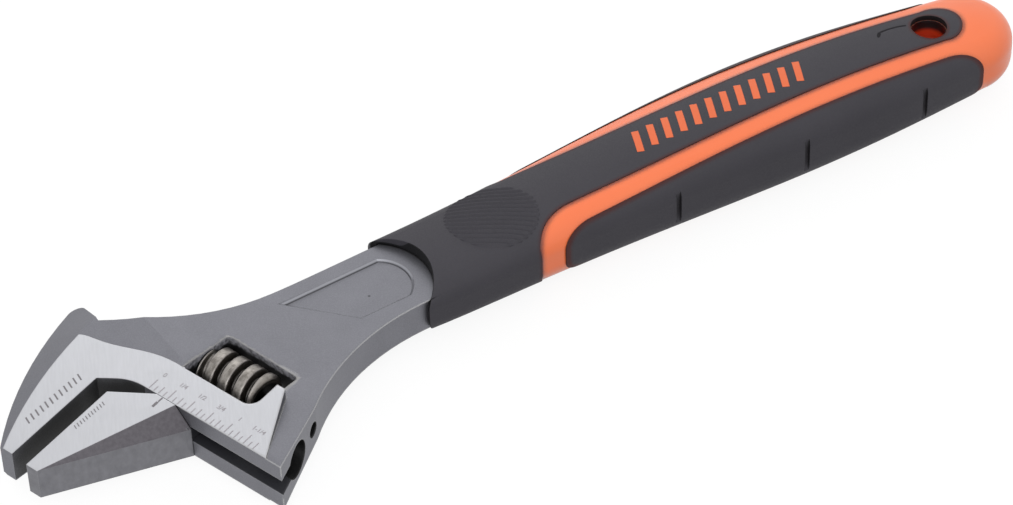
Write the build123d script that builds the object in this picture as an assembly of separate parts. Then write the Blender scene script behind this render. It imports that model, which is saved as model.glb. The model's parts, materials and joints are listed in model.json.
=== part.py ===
from build123d import *
import os
from math import atan2, cos, degrees, pi, radians, sin, tan

# A 12 inch adjustable wrench with a moulded two-colour grip, lying on its side.
# Frame: millimetres, +X along the handle toward its end, +Z out of the upper face, and the origin on
# the axis of the hang hole at mid thickness. The head lies at -X.

# ---- Jaws, in head coordinates: across = the way the jaws open, back = from the tips to the handle
JAW_TILT = 22.5             # from the handle's line to the jaws' faces
HEAD_REACH = 253.9          # hang hole to the throat corner, along X
HEAD_OFFSET = 8.0           # and along -Y
CAPACITY = 34.0             # widest opening
REST_GAP = 5.4              # opening at rest
JAW_DEPTH = 30.8            # throat corner to the fixed jaw's tip
TIP_WIDTH = 4.2
SLIDE_BACK = 4.9            # throat corner to the slide face
THROAT_SLOPE = 33.0         # the throat's run down to the slide face, degrees
THROAT_BLEND = 4.0
SLIDE_END_SPACE = 1.7       # slide left beyond the sliding jaw's foot at the widest opening
END_WALL_RUN = 8.1          # how far the end wall slants back across
END_WALL_DEPTH = 22.0
JAW_BULGE = (-19.3, -4.5)   # a point on the fixed jaw's outer side
HEEL = (-26.5, 20.2)        # heel corner before rounding
HEEL_FOOT = (-13.4, 14.8)   # where the heel's wall meets the neck
HEEL_ROUND = 2.5

# ---- Thickness of the head
SLIDE_HALF_THICKNESS = 7.6  # ground faces at the slide face
JAW_TAPER = 4.5             # each ground face thins toward the tips, degrees
GROUND_STEP = 0.3           # ground faces stand proud of the forged skin
GROUND_EDGE = [(5.7, 14.2), (-8.1, 9.7), (-13.3, 8.5), (-16.6, 3.5)]   # rear edge of the ground face
GROUND_CORNER = (41.8, 24.8)   # its far corner, behind the window
GROUND_END_STEP = 4.9       # ground face ends this far before the end wall
BEVEL_START = 3.0           # height where the outer bevel starts
BEVEL_ANGLE = 61.0          # bevel, from the vertical
BEVEL_TOP = 12.0            # height its cutter reaches, above the head
BEVEL_SWEEP = 48.0          # degrees it runs round the outer side, to past the heel
BEVEL_LEAD = 8.0            # and degrees it starts before the jaw's tip
BEVEL_LEAN = 2.4            # it narrows toward the tip by this lean, degrees

# ---- Sliding jaw, from its own face
BLADE_PROUD = 0.5           # the sliding jaw's tip stands this far past the fixed one
BLADE_INNER = 1.9           # inner end of its face
BLADE_FOOT_START = 10.8
BLADE_REAR = 22.1
BLADE_TIP = 3.7
BLADE_RIDGE = 17.2          # ground face ends here at the slide
BLADE_BEVEL_HEIGHT = 1.8    # foot of the bevel at the slide

# ---- Slide, rack and worm
WEB_THICKNESS = 4.8
WEB_START, WEB_END = 8.9, 21.6   # web, from the sliding jaw's face
SLOT_START = 8.0            # slot, from the throat corner
RACK_BACK = 14.5            # rack axis, behind the throat corner
RACK_RADIUS = 4.9
RACK_START, RACK_END = -8.6, 28.4   # from the sliding jaw's face
RACK_CHAMFER = 0.5
BORE_START = -9.4
SLIDE_CLEARANCE = 0.1
LEAD = 4.9
WORM_RADIUS = 7.25
THREAD_DEPTH = 2.35
THREAD_SUNK = 0.4           # the thread's foot lies this far inside the hub
THREAD_CHAMFER = 0.9        # at the worm's ends
CREST_WIDTH = 2.5
THREAD_ROOT_WIDTH = 3.5
MESH_DEPTH = 1.9
FLANK_CLEARANCE = 0.18
TIP_CLEARANCE = 0.25
WORM_LENGTH = 18.6
WINDOW_START = 15.6         # window's near wall, from the throat corner across
WINDOW_WIDTH = 23.6
WINDOW_WALL = 0.8           # strip left between the rack bore's axis and the window
WINDOW_END_SPACE = 0.4      # beyond the worm's crest, at the back of the window
WINDOW_ROUND = 3.5          # corner toward the scale's end
WINDOW_CORNER = 1.2         # the other three
PIN_RADIUS = 1.6
PIN_CLEARANCE = 0.05
PIN_DEPTH = 4.6             # blind length past the window
PIN_HEAD_RADIUS = 2.0
PIN_HEAD_LENGTH = 5.5
PIN_RECESS = 1.6
PIN_SLOT = 0.7              # screwdriver slot's width and depth
SPRING_WIRE = 0.9
SPRING_TURNS = 3

# ---- Shank and handle line
SHANK_WIDTH = 25.4
SHANK_THICKNESS = 9.7
NECK_FAR = 200.5            # neck arcs meet the shank here, from the hang hole
NECK_NEAR = 170.5
NECK_TOP = 190.0            # where the shank starts to thicken toward the head
NECK_HEAD = 235.0           # and where it reaches the head
NECK_HEAD_THICKNESS = 17.4
BEND_START = 20.0           # the handle line bends from here
BEND_RADIUS = 955.0
BEND_ANGLE = 5.5
RECESS_DEPTH = 0.7
RECESS_WIDTH = 15.0
RECESS_START, RECESS_END = 199.0, 167.5
RECESS_SLANT = 13.0
RECESS_DRAFT = 50.0         # its walls lean out, degrees
TANG_WIDTH = 17.0
TANG_THICKNESS = 8.0
TANG_START, TANG_END = 160.0, 14.0

# ---- Grip
HOLE_RADIUS = 4.8
HOLE_MARGIN = 0.2           # black layer stands back from the hole
CAP_CENTRE = 11.0           # beyond the hang hole
GRIP_FRONT = 169.5
CORE_FRONT = 158.0
SKIN = 1.6
STRIPE_STEP = 0.25          # orange lies below the black
CORNER_SHARE = 0.5          # the section's corners take this share of its half thickness
CROWN_SHARE = 0.13          # and its top and bottom bulge by this share of it
# Half width and half thickness of the grip, by distance from the hang hole toward the head.
GRIP_STATIONS = [
    (-CAP_CENTRE, 14.5, 10.7),
    (18.0, 17.1, 11.9),
    (50.0, 18.3, 12.7),
    (84.0, 17.4, 12.2),
    (124.0, 15.4, 10.8),
]
GRIP_FRONT_SIZE = (14.8, 7.8)
GRIP_FRONT_SHIFT = 0.7      # the mouth leans to the far side
MOUTH_DEPTH = 7.5
MOUTH_RADIUS = 17.0
MOUTH_GAP = 0.4             # the mouth's lip stands this far off the shank
MOUTH_GAP_DEPTH = 3.0       # and the gap runs this far in
# Stripe edges in plan: distance from the hang hole toward the head, and offset from the handle line.
PANEL_FAR = [(130.0, 11.5), (108.0, 9.3), (75.0, 8.2), (20.0, 8.3), (-1.5, 7.1)]
PANEL_NEAR = [(121.0, -7.5), (88.0, -8.2), (40.0, -7.2), (-1.5, -6.5)]
PANEL_END = (9.9, 0.4)      # the panel's round end, in X and Y
PAD_FAR = [(118.0, 13.5), (80.0, 13.6), (31.0, 12.6), (1.0, 11.8)]
PAD_NEAR = [(118.0, -13.4), (80.0, -13.6), (31.0, -12.5), (1.0, -11.7)]
PAD_FRONT = 128.3
PAD_REAR = 9.0
SLEEVE_REAR = 135.7
PAD_FRONT_ROUND = 2.2       # how far the pads' front ends turn down from their edges
PAD_REAR_ROUND = 3.0        # and their rear ends
PAD_GROOVES = [92.0, 50.8, 11.2]   # upright grooves in the pads' sides, from the hang hole
GROOVE_WIDTH = 1.6
GROOVE_DEPTH = 1.0
GROOVE_HEIGHT = 15.0
SHOULDER = 14.0             # where the stripes turn down over the sides

REACH = 60.0                # cutters reach this far past what they cut
MARGIN = 1.0                # forms that join run this far into each other

tilt = radians(JAW_TILT)
slide_length = CAPACITY + BLADE_REAR + SLIDE_END_SPACE
blade_depth = JAW_DEPTH + BLADE_PROUD
HEAD = Plane(origin=(-HEAD_REACH, -HEAD_OFFSET, 0), x_dir=(sin(tilt), -cos(tilt), 0), z_dir=(0, 0, 1))
slot_width = WEB_THICKNESS + 2 * SLIDE_CLEARANCE
bore_radius = RACK_RADIUS + SLIDE_CLEARANCE
worm_back = RACK_BACK + RACK_RADIUS + WORM_RADIUS - MESH_DEPTH
worm_root = WORM_RADIUS - THREAD_DEPTH
thread_flank = (THREAD_ROOT_WIDTH - CREST_WIDTH) / 2 / THREAD_DEPTH
window_front = RACK_BACK + WINDOW_WALL
window_back = worm_back + WORM_RADIUS + WINDOW_END_SPACE
window_end = WINDOW_START + WINDOW_WIDTH
worm_start = WINDOW_START + SLIDE_CLEARANCE
spring_room = WINDOW_WIDTH - WORM_LENGTH - SLIDE_CLEARANCE
taper = tan(radians(JAW_TAPER))
end_slant = END_WALL_RUN / END_WALL_DEPTH


def head_xy(across, back):
    """A point given in head coordinates, as part X and Y."""
    point = HEAD.from_local_coords(Vector(across, back, 0))
    return (point.X, point.Y)


def end_wall_across(back):
    """Where the slanted end wall of the head lies at this depth."""
    return slide_length - end_slant * (back - SLIDE_BACK)


def handle_plane(distance):
    """The section plane across the handle at this distance from the hang hole toward the head."""
    bend = radians(BEND_ANGLE)
    bend_length = BEND_RADIUS * bend
    turned = min(max((distance - BEND_START) / BEND_RADIUS, 0), bend)
    straight = max(distance - BEND_START - bend_length, 0)
    before = min(distance, BEND_START)
    x = -before - BEND_RADIUS * sin(turned) - straight * cos(bend)
    y = -BEND_RADIUS * (1 - cos(turned)) - straight * sin(bend)
    return Plane(origin=(x, y, 0), x_dir=(-sin(turned), cos(turned), 0), z_dir=(cos(turned), sin(turned), 0))


def handle_xy(distance, offset):
    """A point at this distance along the handle line and this far to its +Y side."""
    point = handle_plane(distance).from_local_coords(Vector(offset, 0, 0))
    return (point.X, point.Y)


def head_way(distance):
    """The handle line's direction toward the head."""
    return -handle_plane(distance).z_dir


def prism(outline, height=REACH):
    """A plan outline extruded equally up and down."""
    return extrude(outline, amount=height, both=True)


# ---- Shared forms of the head

def head_wedge(half_thickness):
    """The tapered slab between the head's two faces, given its half thickness at the slide face."""
    front, rear = -blade_depth - MARGIN, HEAD_REACH
    at_front = half_thickness + taper * (front - SLIDE_BACK)
    at_rear = half_thickness + taper * (rear - SLIDE_BACK)
    section = Polygon((front, at_front), (rear, at_rear), (rear, -at_rear), (front, -at_front), align=None)
    slab = extrude(Plane.YZ * section, amount=2 * HEAD_REACH, both=True)
    return HEAD.location * slab


def fixed_jaw_back():
    """The fixed jaw's outer side, from its tip to the heel corner."""
    return ThreePointArc(head_xy(-TIP_WIDTH, -JAW_DEPTH), head_xy(*JAW_BULGE), head_xy(*HEEL))


def jaw_side_edges(rear):
    """Fixed jaw's inner face, throat and slide face, ending at this point across."""
    slope = radians(THROAT_SLOPE)
    blend_at = SLIDE_BACK / tan(slope)
    blend_start = (blend_at - THROAT_BLEND * cos(slope), SLIDE_BACK - THROAT_BLEND * sin(slope))
    blend_end = head_xy(blend_at + THROAT_BLEND, SLIDE_BACK)
    down = HEAD.x_dir * cos(slope) + HEAD.y_dir * sin(slope)
    return [
        Line(head_xy(0, -JAW_DEPTH), head_xy(0, 0)),
        Line(head_xy(0, 0), head_xy(*blend_start)),
        TangentArc(head_xy(*blend_start), blend_end, tangent=down),
        Line(blend_end, head_xy(rear, SLIDE_BACK)),
    ]


def body_outline():
    """Plan of the forging, from the jaw tip round the heel and down the shank."""
    end_corner = head_xy(slide_length - END_WALL_RUN, SLIDE_BACK + END_WALL_DEPTH)
    half = SHANK_WIDTH / 2
    far_neck, near_neck = handle_xy(NECK_FAR, half), handle_xy(NECK_NEAR, -half)
    edges = jaw_side_edges(slide_length) + [
        Line(head_xy(slide_length, SLIDE_BACK), end_corner),
        TangentArc(near_neck, end_corner, tangent=head_way(NECK_NEAR)),
        Line(near_neck, handle_xy(TANG_START, -half)),
        Line(handle_xy(TANG_START, -half), handle_xy(TANG_START, half)),
        Line(handle_xy(TANG_START, half), far_neck),
        TangentArc(far_neck, head_xy(*HEEL_FOOT), tangent=head_way(NECK_FAR)),
        Line(head_xy(*HEEL_FOOT), head_xy(*HEEL)),
        fixed_jaw_back(),
        Line(head_xy(-TIP_WIDTH, -JAW_DEPTH), head_xy(0, -JAW_DEPTH)),
    ]
    outline = make_face(edges)
    heel = Vector(*head_xy(*HEEL))
    return fillet(outline.vertices().sort_by_distance(heel)[0], HEEL_ROUND)


def neck_profile():
    """Side view of shank and neck: even along the shank, then thickening toward the head."""
    half, head_half = SHANK_THICKNESS / 2, NECK_HEAD_THICKNESS / 2
    low = Vector(-NECK_TOP, half)
    high = Vector(-NECK_HEAD, head_half)
    rise = TangentArc(low, high, tangent=(-1, 0))
    beyond = high + (rise % 1) * REACH
    edges = [
        Line((-TANG_START, 0), (-TANG_START, half)),
        Line((-TANG_START, half), low),
        rise,
        Line(high, beyond),
        Line(beyond, (beyond.X, 0)),
        Line((beyond.X, 0), (-TANG_START, 0)),
    ]
    upper = make_face(edges)
    return extrude(Plane.XZ * (upper + mirror(upper, Plane.XZ)), amount=HEAD_REACH, both=True)


def ground_outline():
    """Plan of the ground face: jaw, strip beside the window, and the corner behind the window."""
    strip_end = slide_length - GROUND_END_STEP
    strip_edge = head_xy(WINDOW_START, window_front)
    edge = [strip_edge] + [head_xy(*point) for point in GROUND_EDGE]
    over_window = (WINDOW_START + WINDOW_WIDTH / 2, GROUND_CORNER[1])
    corner = [head_xy(*point) for point in [(strip_end, SLIDE_BACK), GROUND_CORNER, over_window]]
    edges = jaw_side_edges(strip_end) + [
        Polyline(corner + [strip_edge]),
        Spline(edge),
        Line(edge[-1], head_xy(*JAW_BULGE)),
        Line(head_xy(*JAW_BULGE), head_xy(-TIP_WIDTH, -JAW_DEPTH)),
        Line(head_xy(-TIP_WIDTH, -JAW_DEPTH), head_xy(0, -JAW_DEPTH)),
    ]
    return make_face(edges)


def outer_bevel():
    """The ring cut away along the fixed jaw's outer side and round the heel."""
    arc = fixed_jaw_back()
    centre, radius = arc.arc_center, arc.radius
    run = tan(radians(BEVEL_ANGLE)) * (BEVEL_TOP - BEVEL_START)
    section = Polygon(
        (radius, BEVEL_START), (radius + REACH, BEVEL_START),
        (radius + REACH, BEVEL_TOP), (radius - run, BEVEL_TOP), align=None,
    )
    tip = Vector(*head_xy(-TIP_WIDTH, -JAW_DEPTH)) - centre
    start = degrees(atan2(tip.Y, tip.X)) + BEVEL_LEAD
    around = Plane(origin=(centre.X, centre.Y, 0), x_dir=Vector(1, 0, 0).rotate(Axis.Z, start),
                   z_dir=(0, 0, 1))
    ring = revolve(Plane.XZ * section, Axis.Z, revolution_arc=-BEVEL_SWEEP)
    lean = HEAD.location * Rot(-BEVEL_LEAN, 0, 0) * HEAD.location.inverse()
    upper = lean * around.location * ring
    return upper + mirror(upper, Plane.XY)


def shank_recess():
    """The shallow panel in the shank, slanted at its head end and round at the grip."""
    half = RECESS_WIDTH / 2
    end = RECESS_END + half / 2
    edges = [
        Line(handle_xy(RECESS_START, half), handle_xy(end, half)),
        ThreePointArc(handle_xy(end, half), handle_xy(RECESS_END, 0), handle_xy(end, -half)),
        Line(handle_xy(end, -half), handle_xy(RECESS_START - RECESS_SLANT, -half)),
        Line(handle_xy(RECESS_START - RECESS_SLANT, -half), handle_xy(RECESS_START, half)),
    ]
    floor = SHANK_THICKNESS / 2 - RECESS_DEPTH
    upper = Pos(0, 0, floor) * extrude(make_face(edges), amount=REACH, taper=-RECESS_DRAFT)
    return upper + mirror(upper, Plane.XY)


# ---- Worm, pin and spring, built along +Z and laid across the head

UPRIGHT = (Align.CENTER, Align.CENTER, Align.MIN)   # solids that stand on their base


def across_axis(across):
    """Seat on the worm's axis at this place across the head, its x pointing at the rack."""
    seat = Plane(origin=(across, worm_back, 0), x_dir=(0, -1, 0), z_dir=(1, 0, 0))
    return HEAD.location * seat.location


def screw_thread(length):
    """The worm's trapezoidal thread, with a crest facing the rack at the worm's near end."""
    root_half = THREAD_ROOT_WIDTH / 2 + THREAD_SUNK * thread_flank
    crest_half = CREST_WIDTH / 2
    inner = worm_root - THREAD_SUNK
    profile = Polygon((inner, -root_half), (WORM_RADIUS, -crest_half), (WORM_RADIUS, crest_half),
                      (inner, root_half), align=None)
    path = Helix(pitch=LEAD, height=length + 2 * LEAD, radius=WORM_RADIUS)
    turn = sweep(Plane.XZ * profile, path=path, is_frenet=True)
    return Pos(0, 0, -LEAD) * turn


def knurl():
    """The thumb worm: a helical thread on a hub that runs on the pin."""
    trim = Cylinder(WORM_RADIUS + MARGIN, WORM_LENGTH, align=UPRIGHT)
    trim = chamfer(trim.edges().filter_by(GeomType.CIRCLE), MARGIN + THREAD_CHAMFER)
    hub = Cylinder(worm_root, WORM_LENGTH, align=UPRIGHT)
    bore = Cylinder(PIN_RADIUS + PIN_CLEARANCE, REACH)
    worm = hub + (screw_thread(WORM_LENGTH) & trim) - bore
    return across_axis(worm_start) * worm


def knurl_pin(grow=0.0, recess=0.0):
    """The worm's axle with its slotted screw head. With grow it is the hole the axle sits in."""
    near = WINDOW_START - PIN_DEPTH - grow
    head_end = end_wall_across(worm_back) - PIN_RECESS
    head_start = head_end - PIN_HEAD_LENGTH
    shaft = Cylinder(PIN_RADIUS + grow, head_end + recess - near, align=UPRIGHT)
    head = Cylinder(PIN_HEAD_RADIUS + grow, PIN_HEAD_LENGTH + recess, align=UPRIGHT)
    pin = shaft + Pos(0, 0, head_start - near) * head
    if not recess:
        slot = Box(PIN_SLOT, REACH, 2 * PIN_SLOT)
        pin = pin - Pos(0, 0, head_end - near) * slot
    return across_axis(near) * pin


def knurl_spring():
    """The compression spring on the pin, between the worm and the window's wall."""
    wire = SPRING_WIRE / 2
    coil = PIN_RADIUS + 2 * PIN_CLEARANCE + wire
    height = spring_room - 2 * wire - SLIDE_CLEARANCE
    path = Helix(pitch=height / SPRING_TURNS, height=height, radius=coil)
    section = Plane(origin=path @ 0, z_dir=path % 0) * Circle(wire)
    spring = sweep(section, path=path, is_frenet=True)
    return across_axis(worm_start + WORM_LENGTH + SLIDE_CLEARANCE + wire) * spring


# ---- The forging

def wrench_body():
    """Fixed jaw, head, shank and tang in one forging."""
    outline = body_outline()
    forged = prism(outline) & head_wedge(SLIDE_HALF_THICKNESS - GROUND_STEP) & neck_profile()
    ground = prism(ground_outline()) & prism(outline) & head_wedge(SLIDE_HALF_THICKNESS)
    body = forged + ground - outer_bevel() - shank_recess() + tang()
    return body - head_cuts() - knurl_pin(PIN_CLEARANCE, REACH)


def tang():
    """The narrow bar that carries the grip."""
    half = TANG_WIDTH / 2
    bend_end = BEND_START + BEND_RADIUS * radians(BEND_ANGLE)
    edges = []
    for side in (1, -1):
        edges += [
            Line(handle_xy(TANG_START + MARGIN, side * half), handle_xy(bend_end, side * half)),
            ThreePointArc(handle_xy(bend_end, side * half),
                          handle_xy((bend_end + BEND_START) / 2, side * half),
                          handle_xy(BEND_START, side * half)),
            Line(handle_xy(BEND_START, side * half), handle_xy(TANG_END, side * half)),
        ]
    edges += [
        Line(handle_xy(TANG_START + MARGIN, half), handle_xy(TANG_START + MARGIN, -half)),
        Line(handle_xy(TANG_END, half), handle_xy(TANG_END, -half)),
    ]
    return prism(make_face(edges), TANG_THICKNESS / 2)


def head_cuts():
    """Worm window, rack bore and slide slot, all in head coordinates."""
    opening = Rectangle(WINDOW_WIDTH, window_back - window_front, align=Align.MIN)
    round_corner = opening.vertices().sort_by_distance((WINDOW_WIDTH, 0, 0))[0]
    opening = fillet(round_corner, WINDOW_ROUND)
    opening = fillet(opening.vertices().sort_by_distance((WINDOW_WIDTH, 0, 0))[2:], WINDOW_CORNER)
    window = Pos(WINDOW_START, window_front, 0) * prism(opening)
    length = slide_length + REACH
    bore = Rot(0, 90, 0) * Cylinder(bore_radius, length - BORE_START, align=UPRIGHT)
    bore = Pos(BORE_START, RACK_BACK, 0) * bore
    slot = Box(length - SLOT_START, RACK_BACK, slot_width, align=(Align.MIN, Align.MIN, Align.CENTER))
    slot = Pos(SLOT_START, 0, 0) * slot
    return HEAD.location * (window + bore + slot)


# ---- The sliding jaw

def jaw_blade():
    """The sliding jaw's blade, in head coordinates from its own face."""
    foot = SLIDE_BACK - SLIDE_CLEARANCE
    outline = Polygon(
        (0, -blade_depth), (0, -BLADE_INNER), (BLADE_FOOT_START, foot), (BLADE_REAR, foot),
        (BLADE_TIP, -blade_depth), align=None,
    )
    blade = extrude(outline, amount=REACH, both=True)
    tip = Vector(BLADE_TIP, -blade_depth, height_at(-blade_depth))
    ridge = Vector(BLADE_RIDGE, foot, height_at(foot))
    low = Vector(BLADE_REAR, foot, BLADE_BEVEL_HEIGHT)
    along = ridge - tip
    outward = (low - tip).cross(along)
    if outward.Z < 0:
        outward = -outward
    bevel = Plane(origin=tip, x_dir=along, z_dir=outward).location
    cutter = bevel * Box(4 * REACH, 4 * REACH, REACH, align=UPRIGHT)
    return blade - cutter


def height_at(back):
    """Half thickness of the ground head at this depth."""
    return SLIDE_HALF_THICKNESS + taper * (back - SLIDE_BACK)


def rack_groove():
    """One straight groove of the rack, slanted to match the worm's thread."""
    floor = worm_back - WORM_RADIUS - TIP_CLEARANCE
    top = RACK_BACK + RACK_RADIUS + MARGIN
    floor_half = CREST_WIDTH / 2 + FLANK_CLEARANCE - TIP_CLEARANCE * thread_flank
    top_half = floor_half + (top - floor) * thread_flank
    corners = [(-floor_half, floor), (floor_half, floor), (top_half, top), (-top_half, top)]
    section = Polygon(*corners, align=None)
    lean = LEAD / (2 * pi * (WORM_RADIUS - MESH_DEPTH / 2))
    return extrude(section, amount=RACK_RADIUS + MARGIN, dir=(-lean, 0, 1), both=True)


def rack_rod():
    """The toothed rod that the worm drives."""
    length = RACK_END - RACK_START
    rod = Rot(0, 90, 0) * chamfer(Cylinder(RACK_RADIUS, length).edges(), RACK_CHAMFER)
    rod = Pos(RACK_START + length / 2, RACK_BACK, 0) * rod
    first = worm_start - REST_GAP
    turns = range(int((RACK_START - first) / LEAD) - 1, int((RACK_END - first) / LEAD) + 2)
    return rod - [Pos(first + turn * LEAD, 0, 0) * rack_groove() for turn in turns]


def sliding_jaw():
    """Blade, web and rack in one forging, placed at the rest opening."""
    foot = SLIDE_BACK - SLIDE_CLEARANCE
    blade = jaw_blade()
    web = Box(WEB_END - WEB_START, RACK_BACK - foot + MARGIN, WEB_THICKNESS,
              align=(Align.MIN, Align.MIN, Align.CENTER))
    web = Pos(WEB_START, foot - MARGIN, 0) * web
    placed = HEAD.location * Pos(REST_GAP, 0, 0) * (blade + web + rack_rod())
    return placed & head_wedge(SLIDE_HALF_THICKNESS)


# ---- The grip

def grip_section(half_width, half_thickness, inset):
    """A crowned section of the grip, about the handle line, with arcs that meet smoothly."""
    width, thickness = half_width - inset, half_thickness - inset
    crowned = width - CORNER_SHARE * thickness
    shoulder = thickness * (1 - CROWN_SHARE)
    slope = 2 * atan2(thickness - shoulder, crowned)
    corner_radius = (width - crowned) / (1 - sin(slope))
    side_start = shoulder - corner_radius * cos(slope)
    crown = ThreePointArc((-crowned, shoulder), (0, thickness), (crowned, shoulder))
    corner = TangentArc((crowned, shoulder), (width, side_start), tangent=crown % 1)
    side = Line((width, side_start), (width, -side_start))
    upper = [crown, corner, mirror(corner, Plane.YZ)]
    return make_face(upper + [mirror(edge, Plane.XZ) for edge in upper] + [side, mirror(side, Plane.YZ)])


def grip_form(inset, front):
    """The grip's outer form, lofted along the handle line and turned round at its end."""
    sections = [handle_plane(distance) * grip_section(*size, inset) for distance, *size in GRIP_STATIONS]
    shift = Pos(GRIP_FRONT_SHIFT * front / GRIP_FRONT, 0)
    bar = loft(sections + [handle_plane(front) * shift * grip_section(*GRIP_FRONT_SIZE, inset)])
    cap_size = GRIP_STATIONS[0][1:]
    half = grip_section(*cap_size, inset) & Rectangle(REACH, REACH, align=(Align.MIN, Align.CENTER))
    cap = revolve(Plane.XZ * half, Axis.Z)
    keep = Box(REACH, REACH, REACH, align=(Align.MIN, Align.CENTER, Align.CENTER))
    return bar + Pos(CAP_CENTRE, 0, 0) * (cap & keep)


def handle_curve(points):
    """A smooth edge through points given along and across the handle line."""
    return Spline([handle_xy(*point) for point in points])


def sleeve_outline():
    """Plan of the black front sleeve and the panel that runs back to the hang hole."""
    side = REACH
    far, near = handle_curve(PANEL_FAR), handle_curve(PANEL_NEAR)
    front = GRIP_FRONT + MOUTH_DEPTH
    far_shoulder = handle_xy(SLEEVE_REAR - MARGIN, SHOULDER)
    near_shoulder = handle_xy(SLEEVE_REAR - MARGIN, -SHOULDER)
    edges = [
        far, near,
        ThreePointArc(far @ 1, PANEL_END, near @ 1),
        Line(handle_xy(front, side), handle_xy(front, -side)),
        Line(handle_xy(front, side), handle_xy(SLEEVE_REAR, side)),
        Line(handle_xy(front, -side), handle_xy(SLEEVE_REAR, -side)),
        Line(handle_xy(SLEEVE_REAR, side), far_shoulder),
        Line(handle_xy(SLEEVE_REAR, -side), near_shoulder),
        TangentArc(far @ 0, far_shoulder, tangent=-(far % 0)),
        TangentArc(near @ 0, near_shoulder, tangent=-(near % 0)),
    ]
    return make_face(edges)


def pad_outline(points, side):
    """Plan of one side pad, whose outer side is trimmed by the grip's own form."""
    edge = handle_curve(points)
    front_corner = handle_xy(PAD_FRONT, side * (abs(points[0][1]) + PAD_FRONT_ROUND))
    rear_corner = (PAD_REAR, side * (abs(points[-1][1]) + PAD_REAR_ROUND))
    outer = side * REACH
    edges = [
        edge,
        TangentArc(edge @ 0, front_corner, tangent=-(edge % 0)),
        Line(front_corner, handle_xy(PAD_FRONT, outer)),
        Line(handle_xy(PAD_FRONT, outer), (PAD_REAR, outer)),
        Line((PAD_REAR, outer), rear_corner),
        TangentArc(edge @ 1, rear_corner, tangent=edge % 1),
    ]
    return make_face(edges)


def mouth_cut():
    """The sleeve's round mouth, and the narrow gap between its lip and the shank."""
    inner_end = GRIP_FRONT - MOUTH_DEPTH
    round_cut = Pos(*handle_xy(inner_end + MOUTH_RADIUS, 0)) * Cylinder(MOUTH_RADIUS, REACH)
    gap = Box(SHANK_WIDTH + 2 * MOUTH_GAP, SHANK_THICKNESS + 2 * MOUTH_GAP, REACH,
              align=(Align.CENTER, Align.CENTER, Align.MAX))
    return round_cut + handle_plane(inner_end - MOUTH_GAP_DEPTH).location * gap


def grip_half_width(distance):
    """The grip's half width here, between its stations."""
    for (start, first, _), (end, last, _) in zip(GRIP_STATIONS, GRIP_STATIONS[1:]):
        if distance <= end:
            break
    return first + (last - first) * (distance - start) / (end - start)


def pad_grooves(side):
    """Shallow upright grooves across one side pad, each cut by a thin disc."""
    radius = ((GROOVE_HEIGHT / 2) ** 2 + GROOVE_DEPTH ** 2) / (2 * GROOVE_DEPTH)
    disc = Cylinder(radius, GROOVE_WIDTH)
    grooves = []
    for distance in PAD_GROOVES:
        offset = grip_half_width(distance) - GROOVE_DEPTH + radius
        grooves.append(handle_plane(distance).location * Pos(side * offset, 0, 0) * disc)
    return grooves


def main():
    """Build every piece and write one STEP file each."""
    body = wrench_body()
    jaw = sliding_jaw()
    outer = grip_form(0, GRIP_FRONT)
    inner = grip_form(SKIN, CORE_FRONT)
    stripes = grip_form(STRIPE_STEP, CORE_FRONT)
    sleeve_area = prism(sleeve_outline())
    far_area = prism(pad_outline(PAD_FAR, 1))
    near_area = prism(pad_outline(PAD_NEAR, -1))
    hole = Cylinder(HOLE_RADIUS, REACH)
    wide_hole = Cylinder(HOLE_RADIUS + HOLE_MARGIN, REACH)
    skin = outer - inner - body
    pieces = {
        "wrench_body": body,
        "sliding_jaw": jaw,
        "knurl": knurl(),
        "knurl_pin": knurl_pin(),
        "knurl_spring": knurl_spring(),
        "grip_core": inner + (stripes - sleeve_area - far_area - near_area) - body - hole,
        "grip_sleeve": (skin & sleeve_area) - mouth_cut() - wide_hole,
        "side_pad_far": (skin & far_area) - pad_grooves(1),
        "side_pad_near": (skin & near_area) - pad_grooves(-1),
    }
    os.makedirs("parts", exist_ok=True)
    for name, shape in pieces.items():
        export_step(shape, f"parts/{name}.step")


main()
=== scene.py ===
import json
import math

import bpy
from mathutils import Matrix, Vector


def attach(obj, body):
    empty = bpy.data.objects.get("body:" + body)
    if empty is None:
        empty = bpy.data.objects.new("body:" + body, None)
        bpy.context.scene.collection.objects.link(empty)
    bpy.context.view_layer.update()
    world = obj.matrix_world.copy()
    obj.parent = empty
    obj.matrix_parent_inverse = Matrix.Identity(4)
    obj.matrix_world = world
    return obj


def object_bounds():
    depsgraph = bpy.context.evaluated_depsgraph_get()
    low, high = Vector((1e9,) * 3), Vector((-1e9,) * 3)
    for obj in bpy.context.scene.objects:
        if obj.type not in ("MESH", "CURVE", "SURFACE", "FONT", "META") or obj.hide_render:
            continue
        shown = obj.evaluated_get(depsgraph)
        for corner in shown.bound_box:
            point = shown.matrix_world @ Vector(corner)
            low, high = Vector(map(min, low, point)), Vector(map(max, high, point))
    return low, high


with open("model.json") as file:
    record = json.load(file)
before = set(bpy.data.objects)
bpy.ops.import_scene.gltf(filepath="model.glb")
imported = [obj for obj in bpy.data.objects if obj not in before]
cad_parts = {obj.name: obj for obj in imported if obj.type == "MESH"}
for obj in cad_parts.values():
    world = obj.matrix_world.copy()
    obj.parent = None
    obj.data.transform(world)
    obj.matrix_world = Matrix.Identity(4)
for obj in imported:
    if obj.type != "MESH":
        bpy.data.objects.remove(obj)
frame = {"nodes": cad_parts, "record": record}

cad_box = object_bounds()
MM = 0.001
nodes = frame["nodes"]
mounts = {mount["name"]: mount for mount in frame["record"]["mounts"]}

# ---- Directions along and across the handle, from the axis of the hang hole

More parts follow.
